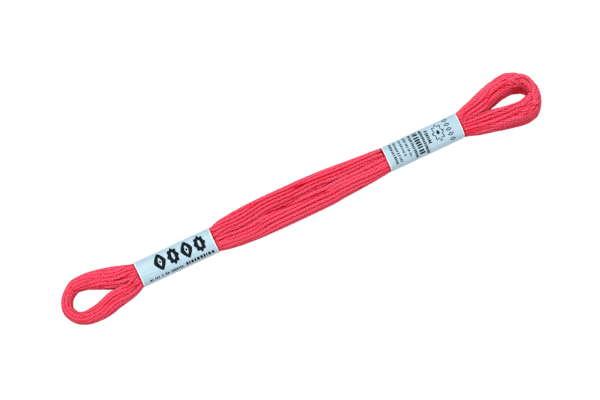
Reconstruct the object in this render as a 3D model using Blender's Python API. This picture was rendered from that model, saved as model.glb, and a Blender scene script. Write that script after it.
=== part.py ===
"""A pull skein of stranded embroidery floss, held by two paper bands and lying on a flat surface.

The thread is wound into one long closed ring. The two sides of the ring lie against each other in
the middle and under the bands, and part into an eye at each end. The ring is one solid whose ridges
are the turns that show on its surface. Each band is a strip of paper wrapped round both sides of the
ring, with its glued overlap low on the far side.

X runs along the skein, +Y is its far side and +Z is up. The origin is on the surface, under the
middle of the skein. Sizes are in millimetres, and MM turns them to metres.
"""

import math
from typing import NamedTuple

import bpy
import numpy as np

MM = 0.001

# Driving sizes
SKEIN_LENGTH = 160.0  # over both eyes
BAND_LENGTH = 25.4
BAND_WIDTH = 8.0  # over the paper, across the skein
BAND_HEIGHT = 6.0  # over the paper, from the surface up
EYE_LENGTH = 25.8  # from the end of the skein to the nearer edge of a band
PAPER = 0.3
CLEARANCE = 0.3  # between the paper and the thread
SLIT = 0.3  # between the two sides of the ring where they lie together

# Wound thread
TURNS_SHOWN = 16  # ridges round one side of the ring
POINTS_PER_TURN = 3
TURN_DEPTH = 0.24  # of the groove between two turns
BELLY_POWER = 2.2  # of the outer side's superellipse between the bands: 2 is an ellipse, more is squarer
TOUCHING_POWER = 5.0  # of the inner side's, where the two sides lie together
STEP = 5.0  # longest distance between two sections along the ring
MOST_BEND = 18.0  # degrees that the ring may turn between two sections
FINE_ARC = 720  # points of the outline that equal arc lengths are read from

# Paper bands
BAND_POWER = 2.9  # of the superellipse that a band is, seen from its end
BAND_POINTS = 56
GLUE_OVERLAP = 3.2
OVERLAP_RAMP = 1.2  # where the strip climbs on to its own first end
GLUE_LINE = 0.05  # between the two layers of paper in the overlap
SEAM_ANGLE = -50.0  # degrees from +Y towards +Z

END = SKEIN_LENGTH / 2
BAND_OUTER_X = END - EYE_LENGTH
BAND_INNER_X = BAND_OUTER_X - BAND_LENGTH
BAND_LIFT = BAND_HEIGHT / 2
WRAPPED_WIDTH = BAND_WIDTH / 2 - PAPER - CLEARANCE - SLIT / 2
WRAPPED_HEIGHT = BAND_HEIGHT - 2 * (PAPER + CLEARANCE)


class Section(NamedTuple):
    """One cross-section of the thread."""

    x: float
    y: float
    width: float  # square to the thread's run, level with the surface
    height: float
    lift: float  # height of the skein's middle line over the surface
    lean: float  # degrees that the ring leans, its near side up
    outer_power: float  # of the superellipse on the ring's outer side
    inner_power: float  # the same on its inner side
    ridge: float  # share of TURN_DEPTH


class EyeRow(NamedTuple):
    """A section of an eye, placed from the end of the skein."""

    from_end: float
    reach: float  # from the eye's middle line out to the thread's centre
    sway: float  # how far the eye's middle line strays towards +Y
    width: float
    height: float
    lift: float
    lean: float
    power: float


class BellyRow(NamedTuple):
    """A section between the bands, where the two sides of the ring lie together."""

    x: float
    half_breadth: float
    crease: float  # Y of the line where the two sides meet
    height: float
    lift: float


class Wave(NamedTuple):
    """A slow shift of the ridges to and fro along the ring, as wound thread wanders."""

    cycles: int  # once round the ring
    turns: float
    phase: float


LEFT_EYE = (
    EyeRow(1.95, 0.0, -0.2, 3.9, 5.3, 2.60, 0.0, 2.7),
    EyeRow(2.8, 2.3, -0.2, 3.9, 5.3, 2.60, 0.0, 2.7),
    EyeRow(4.7, 4.1, -0.1, 4.1, 5.3, 2.60, 0.0, 2.7),
    EyeRow(7.4, 4.95, 0.0, 4.7, 5.3, 2.60, 0.0, 2.7),
    EyeRow(10.2, 4.95, -0.1, 5.4, 5.3, 2.60, 0.0, 2.7),
    EyeRow(12.9, 4.45, -0.1, 5.9, 5.3, 2.60, 0.0, 2.7),
    EyeRow(15.0, 3.9, -0.1, 6.4, 5.3, 2.60, 0.0, 2.8),
    EyeRow(17.2, 3.4, 0.0, 6.4, 5.2, 2.65, 0.0, 2.8),
    EyeRow(20.5, 2.9, 0.0, 5.5, 5.2, 2.75, 0.0, 2.9),
    EyeRow(23.4, 2.45, 0.0, 4.6, 5.0, 2.90, 0.0, 3.0),
    EyeRow(24.8, 2.2, 0.0, 4.1, 5.0, 2.95, 0.0, 3.0),
)
RIGHT_EYE = (
    EyeRow(2.2, 0.0, -0.7, 4.4, 8.2, 5.70, 15.0, 5.5),
    EyeRow(3.0, 2.8, -0.6, 4.4, 8.3, 5.70, 15.0, 5.5),
    EyeRow(5.0, 4.8, -0.5, 4.5, 8.4, 5.70, 15.0, 5.5),
    EyeRow(8.2, 5.6, -0.35, 4.6, 8.4, 5.60, 15.0, 5.5),
    EyeRow(11.6, 5.2, -0.2, 4.9, 8.0, 5.15, 14.0, 5.0),
    EyeRow(15.2, 4.3, -0.1, 5.3, 7.2, 4.45, 11.0, 4.4),
    EyeRow(19.0, 3.4, 0.0, 5.3, 6.2, 3.65, 6.0, 3.8),
    EyeRow(22.4, 2.7, 0.0, 4.9, 5.4, 3.10, 2.5, 3.3),
    EyeRow(24.8, 2.3, 0.0, 4.3, 5.0, 3.00, 0.0, 3.0),
)
BELLY = (
    BellyRow(-28.2, 4.3, 0.0, 5.0, 2.95),
    BellyRow(-25.8, 4.85, -0.2, 5.2, 2.80),
    BellyRow(-21.5, 5.4, -0.5, 5.5, 2.65),
    BellyRow(-16.5, 5.65, -0.1, 5.7, 2.60),
    BellyRow(-9.0, 5.8, 0.9, 5.8, 2.60),
    BellyRow(1.0, 5.75, 0.5, 5.8, 2.60),
    BellyRow(9.0, 5.45, -0.6, 5.7, 2.60),
    BellyRow(16.0, 4.95, -0.4, 5.5, 2.65),
    BellyRow(22.0, 4.45, -0.1, 5.3, 2.75),
    BellyRow(27.6, 4.1, 0.0, 5.0, 2.95),
)
WANDER = (Wave(1, 1.3, 0.6), Wave(2, 0.8, 2.1), Wave(5, 0.5, 0.0))


def eye_sections(rows, end, side):
    """One side of an eye, from its tip inwards. end is -1 at the left and 1 at the right."""
    return [
        Section(
            end * (END - r.from_end),
            r.sway + side * r.reach,
            r.width,
            r.height,
            r.lift,
            r.lean,
            r.power,
            r.power,
            1.0,
        )
        for r in rows
    ]


def wrapped_sections(end, side):
    """One side under a band, from the band's outer edge inwards."""
    beyond = 0.15  # past the paper's edges, where the thread begins to swell
    y = side * (SLIT / 2 + WRAPPED_WIDTH / 2)
    places = (
        (BAND_OUTER_X + beyond, 0.6),
        (BAND_OUTER_X - CLEARANCE, 0.0),
        (BAND_INNER_X + CLEARANCE, 0.0),
        (BAND_INNER_X - beyond, 0.6),
    )
    return [
        Section(end * x, y, WRAPPED_WIDTH, WRAPPED_HEIGHT, BAND_LIFT, 0.0, BAND_POWER, TOUCHING_POWER, ridge)
        for x, ridge in places
    ]


def belly_sections(side):
    """One side between the bands, from left to right."""
    sections = []
    for r in BELLY:
        width = r.half_breadth - side * r.crease - SLIT / 2
        y = r.crease + side * (SLIT + width) / 2
        sections.append(
            Section(r.x, y, width, r.height, r.lift, 0.0, BELLY_POWER, TOUCHING_POWER, 1.0)
        )
    return sections


def side_sections(side):
    """Every section of one side of the ring, from its left tip to its right one. side is 1 on the far side."""
    return (
        eye_sections(LEFT_EYE, -1, side)
        + wrapped_sections(-1, side)
        + belly_sections(side)
        + wrapped_sections(1, side)[::-1]
        + eye_sections(RIGHT_EYE, 1, side)[::-1]
    )


def ring_rows():
    """Every section once round the ring, and which side of it each is on."""
    far, near = side_sections(1), side_sections(-1)[-2:0:-1]
    return np.array(far + near), np.array([1] * len(far) + [-1] * len(near))


def monotone_slopes(distance, values):
    """Slopes of a smooth curve through the values that never swings past one of them."""
    gaps = np.diff(distance)[:, None]
    rise = np.diff(values, axis=0) / gaps
    before, after = rise[:-1], rise[1:]
    harmonic = 2 * before * after / np.where(before + after == 0, 1, before + after)
    slopes = np.zeros_like(values)
    slopes[1:-1] = np.where(before * after > 0, harmonic, 0)
    return slopes


def smooth_rows(rows, sides):
    """The ring's rows with more between them on smooth curves, and the direction of the thread at each.

    The thread runs as its inner edge does, so a side that only swells outwards stays square to X.
    """
    width = Section._fields.index("width")
    around = np.concatenate([rows[-3:], rows, rows[:3]])
    distance = np.concatenate([[0], np.cumsum(np.linalg.norm(np.diff(around[:, :2], axis=0), axis=1))])
    slopes = monotone_slopes(distance, around)
    heading = np.degrees(np.unwrap(np.arctan2(slopes[1:-1, 1], slopes[1:-1, 0])))
    finer, runs = [], []
    for i, side in enumerate(sides, 3):
        gap = distance[i + 1] - distance[i]
        rise = around[i + 1] - around[i]
        bend = abs(heading[i] - heading[i - 1])
        pieces = max(math.ceil(gap / STEP), math.ceil(bend / MOST_BEND))
        for t in np.arange(pieces) / pieces:
            before, after = slopes[i] * (1 - t) ** 2 * t, slopes[i + 1] * (t - 1) * t**2
            finer.append(around[i] + rise * (3 - 2 * t) * t**2 + gap * (before + after))
            leaving, arriving = slopes[i] * (1 - t) * (1 - 3 * t), slopes[i + 1] * (3 * t - 2) * t
            change = rise * 6 * t * (1 - t) / gap + leaving + arriving
            run = (change[0], change[1] - side * change[width] / 2)
            runs.append(run / np.linalg.norm(run))
    return np.array(finer), np.array(runs)


def outline(half_width, half_height, outer_power, inner_power, shares):
    """Points on a rounded outline, at these shares of its length. Each side is a superellipse of its own.

    It starts at the inner side, where its first column, the distance outwards, is lowest.
    """
    angle = np.linspace(-math.pi, math.pi, FINE_ARC + 1)
    power = np.where(np.cos(angle) > 0, outer_power, inner_power)
    reach = (
        np.abs(np.cos(angle) / half_width) ** power + np.abs(np.sin(angle) / half_height) ** power
    ) ** (-1 / power)
    fine = np.stack([reach * np.cos(angle), reach * np.sin(angle)], axis=1)
    length = np.concatenate([[0], np.cumsum(np.linalg.norm(np.diff(fine, axis=0), axis=1))])
    at = np.mod(shares, 1.0) * length[-1]
    return np.stack([np.interp(at, length, fine[:, k]) for k in range(2)], axis=1)


def drift(share):
    """How many turns the ridges have shifted at this share of the way round the ring."""
    return sum(w.turns * math.sin(2 * math.pi * w.cycles * share + w.phase) for w in WANDER)


def ring_points():
    """The points of the wound thread, as an array of sections by points by X, Y and Z."""
    rows, run = smooth_rows(*ring_rows())
    centres = rows[:, :2]
    outward = np.stack([-run[:, 1], run[:, 0]], axis=1)
    index = np.arange(TURNS_SHOWN * POINTS_PER_TURN)
    in_groove = index % POINTS_PER_TURN == 0
    sections = []
    for i, row in enumerate(rows):
        s = Section(*row)
        shares = (index / POINTS_PER_TURN + drift(i / len(rows))) / TURNS_SHOWN
        flat = outline(s.width / 2, s.height / 2, s.outer_power, s.inner_power, shares)
        depth = np.where(in_groove, TURN_DEPTH * s.ridge, 0.0)
        flat *= (1 - depth / np.linalg.norm(flat, axis=1))[:, None]
        x = centres[i, 0] + outward[i, 0] * flat[:, 0]
        y = centres[i, 1] + outward[i, 1] * flat[:, 0]
        lean = math.radians(s.lean)
        leant_y = y * math.cos(lean) + flat[:, 1] * math.sin(lean)
        z = s.lift + flat[:, 1] * math.cos(lean) - y * math.sin(lean)
        sections.append(np.stack([x, leant_y, np.maximum(z, 0.0)], axis=1))
    return np.array(sections)


def material(name, colour, roughness):
    made = bpy.data.materials.new(name)
    made.use_nodes = True
    surface = made.node_tree.nodes["Principled BSDF"]
    surface.inputs["Base Color"].default_value = (*colour, 1.0)
    surface.inputs["Roughness"].default_value = roughness
    surface.inputs["Metallic"].default_value = 0.0
    return made


def solid(name, points, faces, surface):
    mesh = bpy.data.meshes.new(name)
    mesh.from_pydata((points * MM).tolist(), [], faces)
    mesh.validate()
    mesh.materials.append(surface)
    mesh.shade_smooth()
    mesh.set_sharp_from_angle(angle=math.radians(50))
    made = bpy.data.objects.new(name, mesh)
    bpy.context.scene.collection.objects.link(made)
    return made


def wound_thread(surface):
    """The ring of thread, its sections joined each to the next and the last to the first."""
    points = ring_points()
    rings, around, _ = points.shape
    faces = []
    for i in range(rings):
        following = (i + 1) % rings
        for j in range(around):
            beside = (j + 1) % around
            faces.append(
                (
                    i * around + j,
                    i * around + beside,
                    following * around + beside,
                    following * around + j,
                )
            )
    return solid("floss_skein", points.reshape(-1, 3), faces, surface)


def strip_outline():
    """The paper strip seen along the skein: its outer face from end to end, then its inner face back."""
    half_width, half_height = BAND_WIDTH / 2, BAND_HEIGHT / 2
    whole = outline(half_width, half_height, BAND_POWER, BAND_POWER, np.linspace(0, 0.9999, FINE_ARC))
    length = np.linalg.norm(np.diff(whole, axis=0), axis=1).sum()
    start = (math.radians(SEAM_ANGLE) + math.pi) / (2 * math.pi)
    along = np.linspace(0, length + GLUE_OVERLAP, BAND_POINTS)
    climb = np.clip((along - length + OVERLAP_RAMP) / OVERLAP_RAMP, 0, 1)
    middle = outline(half_width, half_height, BAND_POWER, BAND_POWER, start + along / length)
    run = np.gradient(middle, axis=0)
    out = np.stack([run[:, 1], -run[:, 0]], axis=1) / np.linalg.norm(run, axis=1)[:, None]
    rise = (climb**2 * (3 - 2 * climb) * (PAPER + GLUE_LINE))[:, None]
    outer = middle + out * rise
    inner = middle + out * (rise - PAPER)
    return np.concatenate([outer, inner[::-1]])


def paper_band(name, side, surface):
    """A sleeve: the strip's outline carried from one edge of the band to the other."""
    edge = strip_outline()
    count = len(edge)
    ends = sorted((side * BAND_INNER_X, side * BAND_OUTER_X))
    points = np.concatenate(
        [
            np.column_stack([np.full(count, x), edge[:, 0], BAND_LIFT + edge[:, 1]])
            for x in ends
        ]
    )
    points[:, 2] = np.maximum(points[:, 2], 0.0)
    faces = []
    for j in range(count):
        beside = (j + 1) % count
        faces.append((j, beside, count + beside, count + j))
    half = count // 2
    for j in range(half - 1):
        rim = (j, j + 1, count - 2 - j, count - 1 - j)
        faces.append(rim[::-1])
        faces.append(tuple(count + k for k in rim))
    return solid(name, points, faces, surface)


def main():
    for old in list(bpy.data.objects):
        bpy.data.objects.remove(old, do_unlink=True)
    floss = material("coral_cotton_floss", (0.83, 0.07, 0.12), 0.55)
    paper = material("pale_blue_paper", (0.50, 0.68, 0.78), 0.5)
    wound_thread(floss)
    paper_band("left_paper_band", -1, paper)
    paper_band("right_paper_band", 1, paper)


main()
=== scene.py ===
import math

import bpy
import numpy as np
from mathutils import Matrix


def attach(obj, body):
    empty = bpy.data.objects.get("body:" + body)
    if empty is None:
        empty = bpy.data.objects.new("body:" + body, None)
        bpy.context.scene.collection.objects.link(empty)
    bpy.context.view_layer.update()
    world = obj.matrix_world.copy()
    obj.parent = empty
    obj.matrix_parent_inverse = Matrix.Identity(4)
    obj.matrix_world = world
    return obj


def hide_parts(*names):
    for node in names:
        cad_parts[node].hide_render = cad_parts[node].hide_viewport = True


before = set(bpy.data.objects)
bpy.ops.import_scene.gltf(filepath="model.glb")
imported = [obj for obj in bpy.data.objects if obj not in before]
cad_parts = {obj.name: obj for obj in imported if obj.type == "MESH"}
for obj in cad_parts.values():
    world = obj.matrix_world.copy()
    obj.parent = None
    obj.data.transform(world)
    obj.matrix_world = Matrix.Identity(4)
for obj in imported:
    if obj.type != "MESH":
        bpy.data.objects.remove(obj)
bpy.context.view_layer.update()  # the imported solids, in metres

mm = 0.001
print("frame loaded:", ", ".join(sorted(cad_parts)))


def hexColour(code):  # sRGB hex to linear red, green, blue and 1
    value = np.array([int(code[i:i + 2], 16) for i in (1, 3, 5)]) / 255
    linear = np.where(value <= 0.04045, value / 12.92, ((value + 0.055) / 1.055) ** 2.4)
    return (*linear.tolist(), 1.0)


def addNode(tree, kind, settings=None, links=None):
    # One shader node with its settings. A link is the name of an input and the socket that feeds it.
    node = tree.nodes.new("ShaderNode" + kind)
    for name, value in (settings or {}).items():
        if isinstance(name, str) and hasattr(node, name):
            setattr(node, name, value)
        else:
            node.inputs[name].default_value = value
    for name, socket in (links or {}).items():
        tree.links.new(socket, node.inputs[name])
    return node


def newMaterial(name, settings):
    # A material, its node tree and its shader
    made = bpy.data.materials.new(name)
    made.use_nodes = True
    shader = made.node_tree.nodes["Principled BSDF"]
    for socket, value in settings.items():
        shader.inputs[socket].default_value = value
    return made, made.node_tree, shader


def newMesh(name, points, faces, materials, faceMaterial=None, uv=None, attributes=None):
    # points in millimetres, faces as rows of four indices, uv as one pair for each corner of each face
    mesh = bpy.data.meshes.new(name)
    mesh.vertices.add(len(points))
    mesh.vertices.foreach_set("co", (points * mm).astype(np.float32).ravel())
    mesh.loops.add(faces.size)
    mesh.loops.foreach_set("vertex_index", faces.astype(np.int32).ravel())
    mesh.polygons.add(len(faces))
    mesh.polygons.foreach_set("loop_start", np.arange(0, faces.size, 4, dtype=np.int32))
    mesh.polygons.foreach_set("loop_total", np.full(len(faces), 4, dtype=np.int32))
    mesh.update(calc_edges=True)
    for material in materials:
        mesh.materials.append(material)
    if faceMaterial is not None:
        mesh.polygons.foreach_set("material_index", faceMaterial.astype(np.int32))
    if uv is not None:
        layer = mesh.uv_layers.new(name="thread" if attributes else "sheet")
        layer.data.foreach_set("uv", uv.astype(np.float32).ravel())
    for label, values in (attributes or {}).items():
        made = mesh.attributes.new(label, "FLOAT", "POINT")
        made.data.foreach_set("value", values.astype(np.float32))
    mesh.shade_smooth()
    piece = bpy.data.objects.new(name, mesh)
    bpy.context.scene.collection.objects.link(piece)
    return piece


def quads(*corners):
    # Faces from the arrays of their first, second, third and fourth corners
    return np.stack(corners, axis=-1).reshape(-1, 4)


def powerSum(x, y, power):
    # The formula of a superellipse: 1 on its line, less inside and more outside
    return np.abs(x) ** power + np.abs(y) ** power


def ease(share):
    # From 0 to 1, starting and ending softly
    share = np.clip(share, 0, 1)
    return share**2 * (3 - 2 * share)


def unit(vectors):
    # Each divided by its length
    return vectors / np.linalg.norm(vectors, axis=-1)[..., None]


def stepsOf(points):
    # How far each point of a path is from the one before
    return np.linalg.norm(np.diff(points, axis=-2), axis=-1)


def summed(steps):
    # How far each point of a path is from its start
    return np.concatenate([np.zeros((*steps.shape[:-1], 1)), np.cumsum(steps, axis=-1)], axis=-1)


def readAt(at, distance, points):
    # The points of a path this far from its start
    return np.stack([np.interp(at, distance, values) for values in points.T], axis=-1)


view = {
    "azimuth": -25.5,
    "elevation": 78.0,
    "distance": 0.505,  # metres, as is aim
    "aim": (-0.0008, 0.0, 0.003),
    "lens": 100.0,  # millimetres, for a frame of 36
}


def makeCamera():
    # The camera stands on a sphere round the point it aims at, azimuth 0 looking along +Y
    a, e = math.radians(view["azimuth"]), math.radians(view["elevation"])
    back = np.array([math.sin(a) * math.cos(e), -math.cos(a) * math.cos(e), math.sin(e)])
    lens = bpy.data.cameras.new("camera")
    lens.lens = view["lens"]
    lens.clip_start = 0.01
    camera = bpy.data.objects.new("camera", lens)
    camera.location = np.array(view["aim"]) + back * view["distance"]
    camera.rotation_euler = (math.radians(90 - view["elevation"]), 0.0, a)
    bpy.context.scene.collection.objects.link(camera)
    bpy.context.scene.camera = camera


makeCamera()
print("camera placed")


# Once round the ring that the turns lie in, a row for each section, in millimetres: from the left tip
# along the far side to the right tip, then back along the near side. x and y place its middle. Wide is
# out of the ring, tall up, and lifted the middle's height. Leaning is in degrees, near side up. Outer
# and inner power square the two sides of the section. A last column, worked out later, is 1 on the far
# side and -1 on the near one.
atX, atY, wide, tall, lifted, leaning, outerPower, innerPower, whichSide = range(9)
ringTable = (
    (-77.8, -0.5, 3.5, 5.2, 2.6, 0.0, 2.3, 2.3),
    (-77.0, 2.1, 3.5, 5.2, 2.6, 0.0, 2.3, 2.3),
    (-75.1, 4.1, 3.8, 5.2, 2.6, 0.0, 2.3, 2.3),
    (-72.5, 5.3, 4.4, 5.3, 2.6, 0.0, 2.3, 2.3),
    (-69.5, 5.1, 5.1, 5.3, 2.6, 0.0, 2.3, 2.3),
    (-66.6, 4.35, 6.0, 5.1, 2.5, 0.0, 2.4, 2.4),
    (-64.5, 3.7, 6.5, 4.9, 2.45, 0.0, 2.5, 2.5),
    (-62.5, 2.95, 6.9, 4.8, 2.45, 0.0, 2.6, 4.0),
    (-59.5, 2.3, 6.5, 5.0, 2.6, 0.0, 2.7, 5.0),
    (-56.7, 2.1, 5.3, 5.4, 2.8, 0.0, 2.8, 5.5),
    (-54.5, 1.85, 4.05, 5.6, 3.0, 0.0, 2.5, 6.0),
    (-29.2, 1.88, 3.95, 5.6, 3.0, 0.0, 2.5, 6.0),
    (-27.3, 2.22, 4.65, 5.6, 2.9, 0.0, 2.4, 5.0),
    (-24.5, 2.5, 5.3, 5.6, 2.8, 0.0, 2.3, 5.5),
    (-21.0, 2.43, 6.25, 5.6, 2.75, 0.0, 2.3, 6.0),
    (-18.0, 2.63, 6.15, 5.7, 2.75, 0.0, 2.3, 6.0),
    (-15.0, 2.98, 5.85, 5.8, 2.75, 0.0, 2.3, 6.0),
    (-12.0, 3.28, 5.25, 5.8, 2.75, 0.0, 2.3, 6.0),
    (-8.0, 3.3, 5.2, 5.9, 2.8, 0.0, 2.3, 6.0),
    (0.0, 3.3, 5.1, 5.9, 2.8, 0.0, 2.3, 5.0),
    (8.0, 2.9, 5.4, 5.8, 2.75, 0.0, 2.3, 6.0),
    (12.0, 2.8, 5.0, 5.8, 2.75, 0.0, 2.3, 6.0),
    (20.0, 2.65, 3.9, 5.7, 2.8, 0.0, 2.4, 6.0),
    (26.0, 2.5, 3.2, 5.7, 2.95, 0.0, 2.4, 6.0),
    (28.5, 2.45, 2.8, 5.6, 3.0, 0.0, 2.5, 6.0),
    (53.0, 1.88, 3.95, 5.6, 3.0, 0.0, 2.5, 6.0),
    (57.6, 2.5, 5.2, 5.9, 3.25, 2.5, 3.3, 3.2),
    (61.0, 2.85, 6.3, 6.4, 3.75, 6.0, 3.8, 2.6),
    (64.8, 3.9, 6.2, 7.2, 4.45, 11.0, 4.2, 2.2),
    (68.4, 4.85, 5.9, 8.0, 5.2, 15.0, 4.0, 2.1),
    (71.8, 5.2, 5.5, 8.4, 5.8, 18.0, 4.0, 2.2),
    (74.8, 4.3, 4.3, 8.4, 6.2, 23.0, 4.0, 2.6),
    (76.9, 2.2, 3.2, 8.3, 6.15, 23.0, 4.0, 4.0),
    (77.65, -1.0, 3.1, 8.2, 5.8, 18.0, 4.0, 4.5),
    (76.6, -3.8, 4.5, 8.3, 5.7, 15.0, 3.4, 5.5),
    (74.6, -5.2, 6.0, 8.4, 5.7, 15.0, 3.0, 5.0),
    (71.8, -5.8, 5.9, 8.4, 5.6, 15.0, 3.0, 5.0),
    (68.4, -5.2, 5.8, 8.0, 5.15, 14.0, 3.0, 5.0),
    (64.8, -4.1, 6.2, 7.2, 4.45, 11.0, 3.0, 5.0),
    (61.0, -3.05, 6.2, 6.4, 3.75, 6.0, 3.0, 5.0),
    (57.6, -2.5, 5.5, 5.9, 3.25, 2.5, 3.3, 3.6),
    (53.0, -1.78, 4.15, 5.6, 3.0, 0.0, 2.5, 6.0),
    (28.5, -1.4, 4.9, 5.6, 3.0, 0.0, 2.5, 6.0),
    (26.0, -1.5, 5.3, 5.6, 2.95, 0.0, 2.4, 6.0),
    (20.0, -1.75, 5.9, 5.6, 2.8, 0.0, 2.4, 6.0),
    (12.0, -2.05, 6.2, 5.7, 2.75, 0.0, 2.3, 6.0),
    (8.0, -2.35, 6.4, 5.7, 2.75, 0.0, 2.3, 6.0),
    (0.0, -2.2, 6.9, 5.7, 2.75, 0.0, 2.3, 5.0),
    (-8.0, -2.2, 6.9, 5.7, 2.75, 0.0, 2.3, 6.0),
    (-12.0, -2.3, 6.7, 5.7, 2.75, 0.0, 2.3, 6.0),
    (-15.0, -2.58, 6.05, 5.7, 2.75, 0.0, 2.3, 6.0),
    (-18.0, -2.73, 5.35, 5.7, 2.75, 0.0, 2.3, 6.0),
    (-21.0, -2.68, 4.85, 5.6, 2.75, 0.0, 2.3, 6.0),
    (-24.5, -2.35, 4.7, 5.6, 2.8, 0.0, 2.3, 5.5),
    (-27.3, -2.02, 4.35, 5.6, 2.9, 0.0, 2.4, 5.0),
    (-29.2, -1.78, 4.05, 5.6, 3.0, 0.0, 2.5, 6.0),
    (-54.5, -1.88, 4.0, 5.6, 3.0, 0.0, 2.5, 6.0),
    (-56.7, -2.48, 4.5, 5.5, 2.8, 0.0, 2.6, 5.5),
    (-59.5, -3.3, 4.8, 5.5, 2.7, 0.0, 2.5, 5.0),
    (-62.5, -3.55, 5.6, 5.4, 2.65, 0.0, 2.4, 4.0),
    (-64.5, -3.85, 5.7, 5.3, 2.6, 0.0, 2.4, 3.0),
    (-66.6, -4.5, 5.6, 5.3, 2.6, 0.0, 2.4, 2.4),
    (-69.5, -5.05, 5.1, 5.3, 2.6, 0.0, 2.3, 2.3),
    (-72.5, -5.15, 4.5, 5.3, 2.6, 0.0, 2.3, 2.3),
    (-75.2, -4.45, 3.8, 5.2, 2.6, 0.0, 2.3, 2.3),
    (-77.0, -2.8, 3.5, 5.2, 2.6, 0.0, 2.3, 2.3),
)
# The deepest grooves between strands, seen from above. A strand keeps half its width and half the gap
# off the line; a gap below zero lets the strands close over it. Shade is how much of the light the line
# takes, painted into the floss's colour, and breadth half its width. Side 1 is the far side of the ring,
# -1 the near one and 0 both.
# side, gap, shade, breadth, then x and y of the points of the line
grooves = (
    (1, 0.08, 0.70, 0.26, (-22, 4.5), (-10, 4.3), (-5, 3.95), (0, 3.7), (3, 3.5)),
    (1, 0.12, 1.00, 0.30, (-1, 3.6), (3, 3.4), (8, 3.1), (11, 2.9), (15, 2.7)),
    (1, 0.06, 0.65, 0.26, (14, 2.75), (18, 2.6), (25, 2.5)),
    (-1, 0.10, 1.00, 0.28, (-12, 0.1), (-8, -0.1), (-5, -0.55), (-2, -0.85), (2, -1.0), (8, -1.2)),
    (-1, 0.02, 0.60, 0.25, (-29, -1.2), (-24, -1.5), (-20, -1.75), (-15, -1.95), (-6, -1.8)),
    (-1, 0.0, 0.50, 0.24, (-26, -2.4), (-20, -2.8), (-12, -3.1), (-5, -3.1), (3, -2.8), (12, -2.3)),
    (-1, -0.2, 0.25, 0.25, (-23, -0.4), (-18, -0.35), (-14, 0.3), (-10, 0.95)),
    (0, -0.2, 0.50, 0.40, (-12, 0.9), (-8, 1.05), (-2, 1.0)),
    (0, -0.3, 0.30, 0.25, (-3, 1.0), (3, 0.9), (8, 0.7), (12, 0.75), (18, 1.0), (27, 1.1)),
    (1, 0.0, 0.60, 0.26, (-67, 1.9), (-65, 1.3), (-62, 0.9), (-59, 1.0), (-55, 1.3)),
    (-1, 0.04, 0.70, 0.26, (-67, -4.8), (-62, -3.95), (-57, -3.0), (-55, -2.6)),
    (1, 0.08, 0.90, 0.30, (56, 2.2), (60, 2.9), (65, 3.8), (68, 4.6), (72, 5.3)),
    (1, 0.04, 0.60, 0.26, (54, 0.9), (58, 1.4), (63, 1.9), (67, 2.7), (72, 3.7)),
    (-1, 0.06, 0.80, 0.28, (54, -1.6), (58, -2.3), (61, -3.0), (65, -3.6), (67, -3.8)),
    (-1, 0.04, 0.80, 0.28, (54, -3.3), (57, -4.0), (61, -4.6), (66, -5.0), (71, -5.1), (75, -4.7)),
    (-1, 0.0, 0.45, 0.26, (60, -5.7), (66, -7.0), (70, -7.4), (75, -7.0)),
)
floss = {
    "turns": 26,  # 8.8 m of floss
    "strand": 1.08,  # width of the strand of six threads where nothing presses on it
    "swell": 0.24,  # how much wider, as a share, it is in the right eye, where it has room
    "swellX": 57.0,  # where that starts
    "swellRun": 8.0,
    "closePacked": 0.866,  # what a disc takes up in a close packing, as a share of its width squared
    "sectionFill": 0.9,  # and a section, as a share of its width by its height
    "strandTight": 1.04,  # how far strands, and threads, may be pressed into less than that
    "threadTight": 1.02,
    "stations": 400,  # sections once round the ring
    "strandSettling": (260, 0.006, 0.24),  # passes, and how far each presses outwards and smooths
    "wander": 0.35,  # how far a turn strays from its place in the bundle
    "wanderLength": 75.0,  # along the strand, for one such stray
    "seamX": -42.0,  # where one turn hands over to the next, under the left band
    "seamRun": 14.0,
    "threads": 6,
    "thread": 0.45,
    "threadReach": 0.33,  # of the five outer threads from the strand's middle, as a share of its width
    "wallRoom": 1.1,  # how wide a thread counts where it meets the bundle's outside
    "within": 0.88,  # spacing of a strand's own threads, as a share of their width
    "between": 1.10,  # and of threads of two strands
    "threadSettling": (45, 0.002, 0.06),
    "loosening": 0.05,  # how far a thread strays from its place in the strand
    "looseLength": 14.0,
    "pitch": 9.5,  # run of one full turn of the strand's twist
    "sides": 6,  # of a thread's tube, whose ends are closed by two quads
    "flare": 0.5,  # how fast the bundle may widen past a band's edge, and over what run
    "flareRun": 3.0,
    "pieces": 5,  # that the floss is cut into, each of whole turns
    "fill": 1.2,  # how much the threads flatten against each other, which closes the gaps between them
    "seed": 11,
}


# How much closer together the sections are, as a share more or less: in the eyes, behind the bands and
# at the bands' edges
crowding = {
    "rowSteps": 30,  # points between two rows of the table, from which the sections are read
    "eyes": 1.2,
    "eyesX": 64.0,
    "eyesRun": 4.0,
    "hidden": -0.5,
    "hiddenX": (31.0, 51.5),
    "edges": 1.5,
    "edgeReach": 1.2,
}


def fromBandEdge(sections):
    # How far each section is from the nearest edge of a band, along X
    edges = np.array([*band["left"], *band["right"]])
    return np.abs(sections[:, atX, None] - edges).min(axis=1)


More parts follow.
